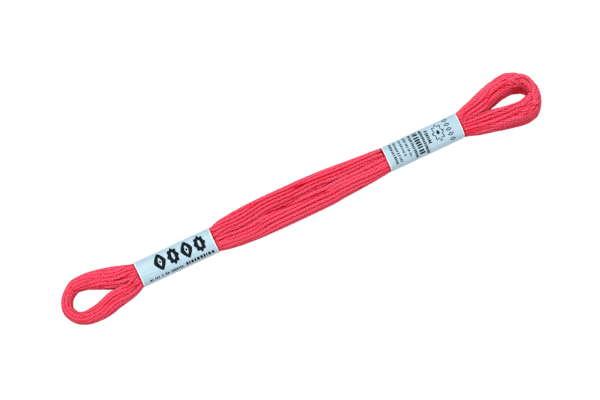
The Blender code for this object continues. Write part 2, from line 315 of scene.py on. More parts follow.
def smoothRing():
    # A monotone cubic through the rows, its slope at each row the harmonic mean of the rises on its two
    # sides, or zero where they differ in sign. Then as many sections as asked along it, closer together
    # in the eyes and at the bands' edges, wider apart under the bands. Run is the direction of the
    # ring's inner edge, and want the distance round the ring.
    rows = np.array(ringTable)
    turn = int(np.argmax(rows[:, atX]))
    side = np.where(np.arange(len(rows)) < turn, 1.0, -1.0)[:, None]
    rows = np.concatenate([rows, side], axis=1)
    around = np.concatenate([rows[-3:], rows, rows[:4]])
    gap = np.diff(summed(stepsOf(around[:, :2])))[:, None]
    rise = np.diff(around, axis=0) / gap
    total = rise[:-1] + rise[1:]
    product = rise[:-1] * rise[1:]
    slope = np.where(product > 0, 2 * product / np.where(total == 0, 1, total), 0)
    t = (np.arange(crowding["rowSteps"]) / crowding["rowSteps"])[None, :, None]
    first, last = around[3:-4][:, None], around[4:-3][:, None]
    leave, arrive, span = slope[2:-3][:, None], slope[3:-2][:, None], gap[3:-3][:, None]
    bend = leave * (1 - t) ** 2 * t + arrive * (t - 1) * t**2
    fine = first + (last - first) * (3 - 2 * t) * t**2 + span * bend
    fine[..., whichSide] = first[..., whichSide]
    fine = fine.reshape(-1, around.shape[1])
    fromSeam = np.abs(fine[:, atX] - floss["seamX"])
    start = int(np.argmin(np.where(fine[:, whichSide] > 0, fromSeam, np.inf)))
    fine = np.roll(fine, -start, axis=0)
    closed = np.concatenate([fine, fine[:1]])
    step = stepsOf(closed[:, :2])
    along = summed(step)
    reach = np.abs(fine[:, atX])
    inEye = np.clip((reach - crowding["eyesX"]) / crowding["eyesRun"], 0, 1)
    hidden = (reach > crowding["hiddenX"][0]) & (reach < crowding["hiddenX"][1])
    atEdge = fromBandEdge(fine) < crowding["edgeReach"]
    crowd = 1 + crowding["eyes"] * inEye + crowding["hidden"] * hidden + crowding["edges"] * atEdge
    crowded = summed(step * crowd)
    want = np.interp(np.linspace(0, crowded[-1], floss["stations"], endpoint=False), crowded, along)
    ring = readAt(want, along, closed)
    ring[:, whichSide] = np.where(ring[:, whichSide] > 0, 1, -1)
    change = np.roll(ring, -1, axis=0) - np.roll(ring, 1, axis=0)
    inward = ring[:, whichSide] * change[:, wide] / 2
    run = unit(np.stack([change[:, atX], change[:, atY] - inward], axis=1))
    return ring, run, want, along[-1]


def grooveLines(ring, run):
    # For each groove and station, the p at which the groove crosses the top of the section, or nan
    lines = []
    lean = np.radians(ring[:, leaning])
    for side, _, _, _, *points in grooves:
        x, y = np.array(points, dtype=float).T
        flat = (np.interp(ring[:, atX], x, y) - ring[:, tall] / 2 * np.sin(lean)) / np.cos(lean)
        inside = (ring[:, whichSide] * side >= 0) & (ring[:, atX] > x[0]) & (ring[:, atX] < x[-1])
        lines.append(np.where(inside, (flat - ring[:, atY]) / run[:, 0], np.nan))
    return np.array(lines)


def smoothNoise(rng, shape, spacing, length):
    # White noise blurred along its last axis by a Gaussian of about this length, made 1 in spread
    frequency = np.fft.rfftfreq(shape[-1], spacing)
    soft = np.exp(-0.5 * (math.pi * frequency * length) ** 2)
    noise = np.fft.irfft(np.fft.rfft(rng.standard_normal(shape)) * soft, shape[-1])
    return noise / noise.std()


relaxing = {
    "push": 0.42,  # share of what two overlap by that each of them moves in a pass
    "offLine": 0.3,  # share of the way off a groove's line
    "upper": 0.5,  # how high up, as a share of half the height, a groove's line reaches
}
tiny = 1e-4  # keeps a distance off zero, in millimetres


def settle(ring, p, q, apart, width, passes, press, stiffness, lines=(), keep=()):
    # Round things in every section, p outwards and q upwards. Each pass parts the pairs that stand
    # nearer than apart, presses all of them outwards, moves the upper ones to their keep off the lines,
    # smooths each along its run, and scales back what has left the section's superellipse. The last axis
    # is the station, and the end of a row is the start of the next row of its line.
    shape = p.shape
    a, b = (ring[:, wide] - width) / 2, (ring[:, tall] - width) / 2
    for _ in range(passes):
        flatP, flatQ = p.reshape(-1, shape[-1]), q.reshape(-1, shape[-1])
        dp, dq = flatP[:, None] - flatP[None], flatQ[:, None] - flatQ[None]
        distance = np.sqrt(dp**2 + dq**2) + tiny
        push = relaxing["push"] * np.clip(apart - distance, 0, None) / distance
        p = p + (push * dp).sum(axis=1).reshape(shape) + press * p / ring[:, wide]
        q = q + (push * dq).sum(axis=1).reshape(shape) + press * q / ring[:, tall]
        upper = q > relaxing["upper"] * b
        for line, room in zip(lines, keep):  # one groove at a time
            off = p - line
            short = np.nan_to_num(np.clip(room - np.abs(off), 0, None) * np.sign(off))
            p = p + relaxing["offLine"] * short * upper
        for values in (p, q):
            line = values.reshape(shape[0], -1)
            line[:, 1:-1] += stiffness * (line[:, 2:] - 2 * line[:, 1:-1] + line[:, :-2])
        power = np.where(p > 0, ring[:, outerPower], ring[:, innerPower])
        full = np.maximum(powerSum(p / a, q / b, power) ** (1 / power), 1)
        p, q = p / full, q / full
    return p, q


def swelling(ring):
    # How wide the strand is, as a share of its width outside the right eye
    return 1 + floss["swell"] * np.clip((ring[:, atX] - floss["swellX"]) / floss["swellRun"], 0, 1)


def roomFor(ring, width, count, tight):
    # This width, swollen, or less where so many that wide don't fit the section
    share = floss["sectionFill"] * ring[:, wide] * ring[:, tall] / count
    return np.minimum(width * swelling(ring), tight * np.sqrt(share / floss["closePacked"]))


def settleStrands(ring, run, along, ringLength):
    # The turns of the strand, each a soft disc in every section. They start from a sunflower's even
    # places in the section, neighbours following each other, and stray from them along their run.
    rng = np.random.default_rng(floss["seed"])
    turns, stations = floss["turns"], floss["stations"]
    room = roomFor(ring, floss["strand"], turns, floss["strandTight"])
    index = np.arange(turns) + 0.5
    angle = index * math.pi * (3 - math.sqrt(5))
    reach = np.sqrt(index / turns)
    shells = 2.99  # from the middle out, so that the outermost place is still in the third
    order = np.lexsort((np.mod(angle, math.tau), np.floor(reach * shells)))
    place = np.stack([reach * np.cos(angle), reach * np.sin(angle)])[:, order]
    hand = ease((along - ringLength + floss["seamRun"]) / floss["seamRun"])
    spot = place[:, :, None] * (1 - hand) + np.roll(place, -1, axis=1)[:, :, None] * hand
    spacing = ringLength / stations
    stray = floss["wander"] * smoothNoise(rng, (2, turns * stations), spacing, floss["wanderLength"])
    stray = stray.reshape(2, turns, stations)
    p = (spot[0] * (ring[:, wide] - room) / 2 + stray[0])[None]
    q = (spot[1] * (ring[:, tall] - room) / 2 + stray[1])[None]
    lines = grooveLines(ring, run)
    keep = (room + np.array([gap for _, gap, *_ in grooves])[:, None]) / 2
    p, q = settle(ring, p, q, room, room, *floss["strandSettling"], lines, keep)
    return p[0], q[0], room


def settleThreads(ring, along, ringLength, p, q, room):
    # Six threads to the strand, one in its middle and five round it, turning once in the pitch. Threads
    # of one strand close up more than threads of two strands do, which leaves a groove between strands.
    rng = np.random.default_rng(floss["seed"] + 1)
    turns, stations, threads = floss["turns"], floss["stations"], floss["threads"]
    width = roomFor(ring, floss["thread"], turns * threads, floss["threadTight"])
    around = math.tau * np.arange(threads) / (threads - 1)
    wound = along + ringLength * np.arange(turns)[:, None]
    angle = around[:, None, None] + math.tau * wound / floss["pitch"]
    outer = np.where(np.arange(threads) < threads - 1, 1.0, 0.0)[:, None, None]
    reach = outer * room * floss["threadReach"]
    spacing = ringLength / stations
    stray = smoothNoise(rng, (2, threads, turns * stations), spacing, floss["looseLength"])
    stray = (floss["loosening"] * stray).reshape(2, threads, turns, stations)
    threadP = p + reach * np.cos(angle) + stray[0]
    threadQ = q + reach * np.sin(angle) + stray[1]
    strandOf = np.tile(np.arange(turns), threads)
    same = (strandOf[:, None] == strandOf[None])[:, :, None]
    apart = (width * np.where(same, floss["within"], floss["between"])).astype(np.float32)
    each = np.arange(len(strandOf))
    apart[each, each] = 0
    ring, threadP, threadQ = (values.astype(np.float32) for values in (ring, threadP, threadQ))
    outside = (floss["wallRoom"] * width).astype(np.float32)
    threadP, threadQ = settle(ring, threadP, threadQ, apart, outside, *floss["threadSettling"])
    return threadP, threadQ, width


# For the painted shade: how the open air round a thread is weighed, where a groove's painted shade
# starts, and the painted shade at a band's edge
shading = {
    "directions": 20,
    "level": 0.9,  # weight of the air beside a thread, and how much more it is above
    "above": 0.1,
    "grooveLow": 0.2,  # how high up a groove's shade starts, as a share of the height
    "edge": 0.5,  # run of the painted shade at a band's edge
    "edgeDepth": 0.3,
}


def openness(p, q, radius):
    # For each thread, station and side of it, how much of the section's open air that side faces: of the
    # directions round it, those that no other thread stands in, weighted by the cosine to the side's own
    # direction and more from above than from below.
    count, stations, sides = *p.reshape(-1, p.shape[-1]).shape, floss["sides"]
    directions = shading["directions"]
    flatP, flatQ = p.reshape(count, stations), q.reshape(count, stations)
    dp, dq = flatP[None] - flatP[:, None], flatQ[None] - flatQ[:, None]
    distance = np.sqrt(dp**2 + dq**2) + tiny
    facing = np.arctan2(dq, dp)
    covers = np.arcsin(np.clip(radius / distance, 0, 1))
    covers[np.arange(count), np.arange(count)] = -1
    free = np.empty((directions, count, stations), dtype=np.float32)
    for k in range(directions):  # one direction at a time
        turn = np.abs(np.mod(facing - math.tau * k / directions + math.pi, math.tau) - math.pi)
        free[k] = ~(turn < covers).any(axis=1)
    side = math.tau * np.arange(sides) / sides
    direction = math.tau * np.arange(directions)[None] / directions
    weight = np.clip(np.cos(side[:, None] - direction), 0, None)
    weight /= weight.sum(axis=1)[:, None]
    weight = weight * (shading["level"] + shading["above"] * np.sin(direction))
    return np.einsum("sk,kcn->cns", weight, free).reshape(*p.shape, sides)


# How much painted shade lies between strands, as if they parted: a noise in rows across the bundle, with
# its mean, spread and least value
partings = {
    "rows": 21,
    "rowWidth": 0.9,
    "rise": 0.7,  # how much a step up counts beside a step outwards
    "length": 30.0,
    "mean": 0.62,
    "spread": 0.5,
    "least": 0.05,
    "depth": 1.33,  # how much further the next strand is, in threads, where the parting ends
}


def innards(p, q, offP, offQ, width):
    # How deep each side of a thread lies inside its strand, from 0 where the next strand is as near as
    # its own to 1 where the next is further off by a thread and a third
    farOff = 9.0  # millimetres, which keeps a strand from being its own neighbour
    middleP, middleQ = p.mean(axis=0), q.mean(axis=0)
    sideP, sideQ = middleP[..., None] + offP, middleQ[..., None] + offQ
    own = np.hypot(offP, offQ)
    other = np.full(own.shape, farOff, dtype=np.float32)
    for k in range(len(middleP)):  # one strand at a time
        distance = np.hypot(sideP - middleP[k][:, None], sideQ - middleQ[k][:, None])
        distance[:, k] = farOff
        other = np.minimum(other, distance)
    return ease((other - own) / (partings["depth"] * width[:, None]))


def parting(ringLength, p, q, offP, offQ):
    # How much painted shade falls between the strands at each side of a thread, as if they parted, from
    # 0 where they lie as one to 1. It is noise of the place in the section, so that both strands of a
    # groove have the same.
    rng = np.random.default_rng(floss["seed"] + 2)
    stations, count, rise = floss["stations"], partings["rows"], partings["rise"]
    rows = smoothNoise(rng, (count, stations), ringLength / stations, partings["length"])
    place = (p.mean(axis=0) + rise * q.mean(axis=0))[..., None] + offP + rise * offQ
    justShort = 1.01  # so that there is always a next row
    place = np.clip(place / partings["rowWidth"] + count // 2, 0, count - justShort)
    row = place.astype(int)
    station = np.arange(stations)[:, None]
    noise = rows[row, station] + (rows[row + 1, station] - rows[row, station]) * (place - row)
    return np.clip(partings["mean"] + partings["spread"] * noise, partings["least"], 1)


def grooveShade(ring, run, p, q, offP):
    # Painted shade: how much of the light each side of a thread keeps in the deepest grooves, a bell
    # across each, and where the bundle goes in under a band, less than none right at the band's edge
    sideP = p.mean(axis=0)[..., None] + offP
    upper = q > shading["grooveLow"] * ring[:, tall]
    kept = np.ones(sideP.shape)
    for line, (_, _, shade, breadth, *_) in zip(grooveLines(ring, run), grooves):  # one groove at a time
        bell = np.exp(-(((sideP - line[:, None]) / breadth) ** 2))
        kept *= 1 - shade * np.nan_to_num(bell) * upper[..., None]
    near = fromBandEdge(ring) / shading["edge"] - shading["edgeDepth"]
    return kept * np.clip(near, -shading["edgeDepth"], 1)[:, None]


def placeInRing(ring, run, p, q):
    # p out along the section's normal, q up, then the whole ring leans about X
    y = ring[:, atY] + run[:, 0] * p
    x = ring[:, atX] - run[:, 1] * p
    lean = np.radians(ring[:, leaning])
    leantY = y * np.cos(lean) + q * np.sin(lean)
    z = ring[:, lifted] + q * np.cos(lean) - y * np.sin(lean)
    return np.stack([x, leantY, z], axis=-1)


def insidePaper(points):
    # Under a band nothing passes the paper's inner face: what does is scaled back on to it. Past the
    # band's edges the limit opens by half the distance from the edge.
    x, y, z = np.moveaxis(points, -1, 0)
    ends = (band["left"], band["right"])
    past = np.minimum(*(np.maximum(low - x, x - high) for low, high in ends))
    room = np.clip(past, 0, None) * floss["flare"] - band["paper"] - band["ridge"] * 2
    a, b, middle = band["width"] / 2 + room, band["height"] / 2 + room, band["height"] / 2
    full = powerSum(y / a, (z - middle) / b, band["power"]) ** (1 / band["power"])
    scale = np.where((past < floss["flareRun"]) & (full > 1), 1 / np.maximum(full, 1), 1)
    return np.stack([x, y * scale, middle + (z - middle) * scale], axis=-1)


def threadTubes(path, radius, outward):
    # Circles of this radius about each point of the paths, their angle measured from the way out of the
    # bundle towards up. One path for each thread, its points in the second axis.
    tangent = unit(np.gradient(path, axis=1))
    across = unit(outward - tangent * (outward * tangent).sum(axis=2)[..., None])
    up = np.cross(tangent, across)
    up *= np.where(up[..., 2:3] < 0, -1, 1)
    angle = math.tau * np.arange(floss["sides"]) / floss["sides"]
    return (
        path[:, :, None]
        + across[:, :, None] * (radius[:, None] * np.cos(angle))[None, ..., None]
        + up[:, :, None] * (radius[:, None] * np.sin(angle))[None, ..., None]
    )


def joinTubes(name, points, length, winding, paintedLightShare, material):
    # The circles joined along each thread, and both ends of each closed by two quads. The UV map is the
    # run along the strand in millimetres and the share of the way round it.
    threads, count, sides = points.shape[:3]
    number = np.arange(threads * count * sides).reshape(threads, count, sides)
    beside = np.roll(number, -1, axis=2)
    walls = quads(number[:, :-1], beside[:, :-1], beside[:, 1:], number[:, 1:])
    u = np.broadcast_to(length[..., None], number.shape).ravel()[walls]
    v = winding.ravel()[walls]
    v = v - np.round(v - v[:, :1])
    uv = np.stack([u, v], axis=-1)
    ends = [number[:, 0][:, [3, 2, 1, 0]], number[:, 0][:, [5, 4, 3, 0]]]
    ends += [number[:, -1][:, [0, 1, 2, 3]], number[:, -1][:, [0, 3, 4, 5]]]
    faces = np.concatenate([walls, *ends])
    uv = np.concatenate([uv, np.zeros((4 * threads, 4, 2))])
    # each point's share of painted light, which the material turns into painted shade
    air = {"painted_light": paintedLightShare.ravel()}
    return newMesh(name, points.reshape(-1, 3), faces, [material], uv=uv, attributes=air)


cotton = {
    "groove": "#c90420",  # painted shade red in a groove; next, painted lit red where a side faces the open
    "paintedLitRed": "#e35e79",
    "roughness": 0.6,
    "mark": 0.68,  # run between the slanting marks of the spun yarn, drawn a quarter coarser than real
    "marksAround": 4,  # how many of them wind round the strand side by side
    "markDepth": 0.68,  # share of the painted lit red that goes between them, as painted shade
    "markHeight": 0.08,  # how high they stand
    "shadeRun": 25.0,  # along the thread, over which its dye varies
}


def cottonFloss():
    # Mercerised six-strand cotton: saturated dye with a soft lustre. The grooves get a purer, darker
    # painted red, painted shade and painted light bounced between the threads.
    settings = {"Roughness": cotton["roughness"], "Specular IOR Level": 0.04, "IOR": 1.5}
    made, tree, shader = newMaterial("mercerised cotton floss", settings)
    air = addNode(tree, "Attribute", {"attribute_name": "painted_light"})
    thread = addNode(tree, "UVMap", {"uv_map": "thread"})
    place = addNode(tree, "SeparateXYZ", {}, {"Vector": thread.outputs["UV"]})
    # the yarns are spun and plied, which leaves slanting marks all along the strand
    slant = {"operation": "MULTIPLY", 1: -math.tau / cotton["mark"]}
    turned = addNode(tree, "Math", slant, {0: place.outputs["X"]})
    around = {"operation": "MULTIPLY_ADD", 1: math.tau * cotton["marksAround"]}
    phase = addNode(tree, "Math", around, {0: place.outputs["Y"], 2: turned.outputs[0]})
    wave = addNode(tree, "Math", {"operation": "SINE"}, {0: phase.outputs[0]})
    crests = {"From Min": -0.9, "From Max": 0.5}
    ridge = addNode(tree, "MapRange", crests, {"Value": wave.outputs[0]})
    # painted shade: the more open air a side of the thread faces, the lighter its painted red
    facing = {"From Min": 0.04, "From Max": 0.8}
    groove = addNode(tree, "MapRange", facing, {"Value": air.outputs["Fac"]})
    product = {"operation": "MULTIPLY"}
    lit = addNode(tree, "Math", product, {0: groove.outputs[0], 1: ridge.outputs[0]})
    # painted shade between the yarn's marks: the red goes darker there, besides the bump's real relief
    part = {"data_type": "FLOAT", 0: cotton["markDepth"]}
    share = addNode(tree, "Mix", part, {2: groove.outputs[0], 3: lit.outputs[0]})
    reds = {"data_type": "RGBA", 6: hexColour(cotton["groove"]), 7: hexColour(cotton["paintedLitRed"])}
    paintedShadeMix = addNode(tree, "Mix", reds, {0: share.outputs[0]})
    # painted shade: hardly any light comes to the bottom of a groove, nor to the turns at the edge of a
    # band, so the value is painted darker there
    dark = {"From Min": -0.3, "From Max": 0.22, "To Min": 0.1}
    deep = addNode(tree, "MapRange", dark, {"Value": air.outputs["Fac"]})
    # the dye takes a little lighter and darker along the thread
    stretch = {"Scale": (1 / cotton["shadeRun"], 0.0, 1.0)}
    stretched = addNode(tree, "Mapping", stretch, {"Vector": thread.outputs["UV"]})
    soft = {"Scale": 1.0, "Detail": 1.0}
    shade = addNode(tree, "TexNoise", soft, {"Vector": stretched.outputs["Vector"]})
    depth = {"To Min": 0.96, "To Max": 1.12}
    value = addNode(tree, "MapRange", depth, {"Value": shade.outputs["Fac"]})
    both = addNode(tree, "Math", product, {0: value.outputs[0], 1: deep.outputs[0]})
    sockets = {"Value": both.outputs[0], "Color": paintedShadeMix.outputs[2]}
    varied = addNode(tree, "HueSaturation", {}, sockets)
    tree.links.new(varied.outputs["Color"], shader.inputs["Base Color"])
    relief = {"Strength": 0.5, "Distance": cotton["markHeight"] * mm}
    bump = addNode(tree, "Bump", relief, {"Height": ridge.outputs[0]})
    tree.links.new(bump.outputs["Normal"], shader.inputs["Normal"])
    return made


def makeFloss():
    # The strands and then their threads find their places in every section. Each thread's places, one
    # turn after another, are the path of a long tube, and its air is what its sides see of the open,
    # which sets the painted shade of its colour.
    material = cottonFloss()
    ring, run, along, ringLength = smoothRing()
    p, q, room = settleStrands(ring, run, along, ringLength)
    print(f"turns settled: {floss['turns']} of {ringLength:.0f} mm")
    p, q, width = settleThreads(ring, along, ringLength, p, q, room)
    print("threads settled")
    turns, threads = floss["turns"], floss["threads"]
    angle = math.tau * np.arange(floss["sides"]) / floss["sides"]
    offP = (p - p.mean(axis=0))[..., None] + width[:, None] / 2 * np.cos(angle)
    offQ = (q - q.mean(axis=0))[..., None] + width[:, None] / 2 * np.sin(angle)
    winding = (np.arctan2(offQ, offP) / math.tau).reshape(threads, -1, floss["sides"])
    # painted shade: each side's share of painted light, from its open air, between strands and in
    # grooves
    parted = parting(ringLength, p, q, offP, offQ)
    paintedLightShare = openness(p, q, width / 2) * (1 - parted * (1 - innards(p, q, offP, offQ, width)))
    paintedLightShare = (paintedLightShare * grooveShade(ring, run, p, q, offP)).reshape(threads, -1, floss["sides"])
    path = placeInRing(ring, run, p, q).reshape(threads, -1, 3)
    outward = np.stack([-run[:, 1], run[:, 0], np.zeros(len(run))], axis=1)
    points = threadTubes(path, np.tile(width / 2 * floss["fill"], turns), np.tile(outward, (turns, 1)))
    points = insidePaper(points)
    points[..., 2] = np.maximum(points[..., 2], 0.0)
    length = summed(stepsOf(path))
    pieces = floss["pieces"]
    cuts = np.round(np.linspace(0, turns, pieces + 1)).astype(int) * floss["stations"]
    for k in range(pieces):
        part = slice(cuts[k], cuts[k + 1] + (k < pieces - 1))
        values = (each[:, part] for each in (points, length, winding, paintedLightShare))
        piece = joinTubes(f"floss_turns_{k + 1}", *values, material)
        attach(piece, "root")
        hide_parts("floss_skein")
    print(f"floss wound: {length[0, -1] / 1000:.2f} m")


band = {
    "left": (-54.3, -29.6),  # the two ends of each, along the skein
    "right": (28.1, 53.2),
    "slant": (0.0, 0.3),  # how far the outer end of each runs askew round the bundle
    "bare": 0.3,  # the white margin that the tint leaves at both ends
    "width": 8.0,  # over the paper
    "height": 6.0,
    "power": 2.9,  # of the outline, where 2 is an oval and more is squarer
    "paper": 0.13,
    "glue": 0.02,
    "overlap": 3.2,
    "ramp": 1.4,  # run of the climb over the first layer
    "seamAngle": -50.0,  # where the paper starts, in degrees from +Y towards +Z
    "ridge": 0.03,  # how far the strands press through
    "ridgePitch": 1.05,
    "ridgeSway": ((0.9, 0.16), (0.5, 0.31)),  # two waves along the band, each with its turn a millimetre
    "ridgeDepth": (0.6, 0.4),  # its mean, and how much more or less it is from place to place
    "ridgeDrift": (0.7, 0.2),  # how fast that changes round the bundle and along it
    "edgeWave": 0.07,  # how far the cut edges stray
    "edgeTurn": 0.55,
    "across": 170,  # columns round the bundle
    "along": 48,  # and rows along it
    "outlinePoints": 1441,
    "tile": 25.4,  # millimetres of flat paper to the UV map's unit
    "tint": ("#99b5c2", "#a6c0cc"),
    "core": ("#cfdde3", "#e0eaee"),
}


def bandOutline():
    # A superellipse by its angle from +Y towards +Z, and the length of paper up to each angle
    angle = np.linspace(0, math.tau, band["outlinePoints"])
    a, b, power = band["width"] / 2, band["height"] / 2, band["power"]
    reach = powerSum(np.cos(angle) / a, np.sin(angle) / b, power) ** (-1 / power)
    curve = np.stack([reach * np.cos(angle), reach * np.sin(angle)], axis=1)
    return angle, curve, summed(stepsOf(curve))


outlineAngle, outlineCurve, outlineLength = bandOutline()
girth = outlineLength[-1]
seamAngle = math.radians(band["seamAngle"]) % math.tau
seamStart = float(np.interp(seamAngle, outlineAngle, outlineLength))
topOfBand = float(np.interp(math.pi / 2, outlineAngle, outlineLength)) + girth - seamStart


def acrossTop(y):
    # How far along the strip the paper passes over this y on the top of the bundle
    over = slice(0, len(outlineAngle) // 2 + 1)
    length = np.interp(-np.asarray(y), -outlineCurve[over, 0], outlineLength[over])
    return length + girth - seamStart


def paperPoint(end, x, t, lift):
    # The paper's face at x along the band and t along the strip: the outline there, moved out along its
    # normal by the climb over the first layer, by the strands' ridges, and by lift.
    step = 0.05
    at = np.mod(seamStart + t, girth)
    middle = readAt(at, outlineLength, outlineCurve)
    run = unit(readAt(np.mod(at + step, girth), outlineLength, outlineCurve) - middle)
    rise = ease((t - girth + band["ramp"]) / band["ramp"]) * (band["paper"] + band["glue"])
    (long, longTurn), (short, shortTurn) = band["ridgeSway"]
    phase = math.tau * at / band["ridgePitch"]
    phase = phase + long * np.sin(longTurn * x + end) + short * np.sin(shortTurn * x)
    mean, vary = band["ridgeDepth"]
    turnRound, turnAlong = band["ridgeDrift"]
    depth = mean + vary * np.sin(turnRound * at + turnAlong * x)
    ridge = band["ridge"] * (np.cos(phase) - 1) * depth
    out = rise + ridge + lift
    y = middle[..., 0] + run[..., 1] * out
    z = band["height"] / 2 + middle[..., 1] - run[..., 0] * out
    return np.stack([np.broadcast_to(x, y.shape), y, np.maximum(z, 0.0)], axis=-1)


def sheetPatch(outer, inner, closed=False):
    # Two grids of points, one over the other, closed all round their edges. They face out where, seen
    # from outside, the way to the next column and then to the next row turns left. Then 1 for each face
    # of the edge, and of the first and last row of the outer grid. With closed, the last column meets
    # the first.
    rows, columns = outer.shape[:2]
    number = np.arange(rows * columns).reshape(rows, columns)
    if closed:
        number = np.concatenate([number, number[:, :1]], axis=1)
    under = number + rows * columns
    top = quads(number[:-1, :-1], number[:-1, 1:], number[1:, 1:], number[1:, :-1])
    bottom = quads(under[:-1, :-1], under[1:, :-1], under[1:, 1:], under[:-1, 1:])
    rims = [
        quads(number[0, 1:], number[0, :-1], under[0, :-1], under[0, 1:]),
        quads(number[-1, :-1], number[-1, 1:], under[-1, 1:], under[-1, :-1]),
    ]
    if not closed:
        rims += [
            quads(number[:-1, 0], number[1:, 0], under[1:, 0], under[:-1, 0]),
            quads(number[1:, -1], number[:-1, -1], under[:-1, -1], under[1:, -1]),
        ]
    points = np.concatenate([outer.reshape(-1, 3), inner.reshape(-1, 3)])
    faces = np.concatenate([top, bottom, *rims])
    inRow, inGrid = number.shape[1] - 1, len(top)
    bare = np.ones(len(faces))
    bare[inRow:inGrid - inRow] = bare[inGrid:2 * inGrid] = 0
    return points, faces, bare


def cloudedColour(tree, shader, scale, detail, colours):
    # The base colour drifts between two colours, by a noise with this many clouds to the metre
    place = addNode(tree, "TexCoord")
    noise = {"Scale": scale, "Detail": detail}
    cloud = addNode(tree, "TexNoise", noise, {"Vector": place.outputs["Object"]})
    tints = {"data_type": "RGBA", 6: hexColour(colours[0]), 7: hexColour(colours[1])}
    mixed = addNode(tree, "Mix", tints, {"Factor": cloud.outputs["Fac"]})
    tree.links.new(mixed.outputs[2], shader.inputs["Base Color"])
    return place


def labelPaper():
    # Coated label paper, pale blue: even, smooth and a little glossy, with faint cloudy fibres in it
    settings = {"Roughness": 0.42, "Specular IOR Level": 0.4, "IOR": 1.5}
    made, tree, shader = newMaterial("coated label paper", settings)
    place = cloudedColour(tree, shader, 420.0, 3.0, band["tint"])  # a cloud every 2.4 mm
    fine = {"Scale": 5200.0, "Detail": 2.0}  # a grain every 0.2 mm
    grain = addNode(tree, "TexNoise", fine, {"Vector": place.outputs["Object"]})
    relief = {"Strength": 0.15, "Distance": 0.03 * mm}
    bump = addNode(tree, "Bump", relief, {"Height": grain.outputs["Fac"]})
    tree.links.new(bump.outputs["Normal"], shader.inputs["Normal"])
    return made


def cutPaper():
    # The white core that shows where the paper is cut
    settings = {"Roughness": 0.8, "Specular IOR Level": 0.2}
    made, tree, shader = newMaterial("cut edge of paper", settings)
    cloudedColour(tree, shader, 3000.0, 2.0, band["core"])  # a fibre every 0.3 mm
    return made


def printersInk():
    # Offset ink, near black and matt, a little uneven where the paper took less of it
    settings = {"Roughness": 0.6, "Specular IOR Level": 0.05}
    made, tree, shader = newMaterial("offset printing ink", settings)
    cloudedColour(tree, shader, 1600.0, 3.0, marks["ink"])  # a speck every 0.6 mm
    return made


def makeBand(name, node, end, materials):
    # A strip whose rows run along the band and whose columns run once round the bundle and over its own
    # first end. End is 1 for the right band and -1 for the left one.
    low, high = band["right"] if end > 0 else band["left"]
    margin = band["bare"] / (high - low)
    share = np.concatenate([[0], np.linspace(margin, 1 - margin, band["along"] - 2), [1]])[:, None]
    t = np.linspace(0, girth + band["overlap"], band["across"])[None, :]
    wave = band["edgeWave"] * np.sin(band["edgeTurn"] * t + end) * (2 * share - 1)
    askew = band["slant"][(end + 1) // 2] * np.sin(math.tau * (t - topOfBand) / girth)
    outerEnd = share if end > 0 else 1 - share
    x = low + (high - low) * share + wave - askew * outerEnd**4
    t = np.broadcast_to(t, x.shape)
    outer = paperPoint(end, x, t, 0.0)
    under = paperPoint(end, x, t, -band["paper"])
    points, faces, bare = sheetPatch(outer, under)
    flat = np.stack([(x - low) / band["tile"], t / band["tile"]], axis=-1).reshape(-1, 2)
    uv = np.concatenate([flat, flat])[faces]
    piece = newMesh(name, points, faces, materials, faceMaterial=bare, uv=uv)
    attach(piece, "root")
    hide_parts(node)
    print(f"{name}: cut {high - low:.1f} x {girth + band['overlap']:.1f} mm")


# A figure is half its length and height, its power and its stroke, and for a star its points and how
# deep they are
marks = {
    "ink": ("#060d13", "#101b25"),
    "proud": 0.025,  # how far the ink's face stands out of the paper's, and its back in
    "sunk": 0.05,
    "ringPoints": 96,
    "ringRows": 7,
    "barPoints": 5,
    "boldX": (-47.0, -42.7, -38.3, -34.0),  # middles of the four bold figures
    "boldY": 0.4,
    "boldLozenge": (1.9, 2.75, 1.25, 1.32),
    "lozengeEye": (0.3, 0.5, 1.25, 0.5),
    "boldStar": (1.9, 2.75, 2.0, 1.43, 8, 0.24),
    # small ticks under them: from and to along the band, middle, half the height
    "small": ((-52.0, -41.1, -3.55, 0.42), (-40.1, -31.1, -3.45, 0.62)),
    "smallLengths": (0.6, 1.3),  # as shares of that half
    "smallGaps": (0.35, 0.65),
    "wordGap": 0.5,
    "wordChance": 0.12,
    "heights": (0.8, 1.0),  # of the ticks in their row
    # rows of ticks over the right band: middle, from and to over the top, half the height, and a tick's
    # length and gap
    "rows": (
        (30.6, 3.3, -3.2, 0.44, 0.38, 0.17),
        (32.0, 3.3, -3.0, 0.40, 0.34, 0.21),
        (33.75, 3.3, -2.3, 0.38, 0.32, 0.23),
        (35.35, 3.4, -2.8, 0.40, 0.32, 0.21),
        (37.1, 3.4, -3.6, 0.46, 0.42, 0.16),
        (38.95, 3.4, -3.2, 0.96, 0.54, 0.28),
        (40.75, 3.4, -3.8, 0.46, 0.42, 0.16),
        (42.35, 2.5, -1.5, 0.54, 0.46, 0.18),
    ),
    "rowLengths": (0.6, 1.2),
    "rowGaps": (0.7, 1.2),
    "rowStray": 0.05,
    "starPlace": (45.8, 0.35),
    "star": (2.0, 2.95, 2.0, 0.42, 8, 0.36),
    "starEye": (0.55, 0.8, 1.2, 0.8),
    "stitchColumn": (49.2, 3.0, -3.2, 5),  # middle, from and to, and how many
    "stitch": (1.0, 0.52, 1.2, 0.3),
}


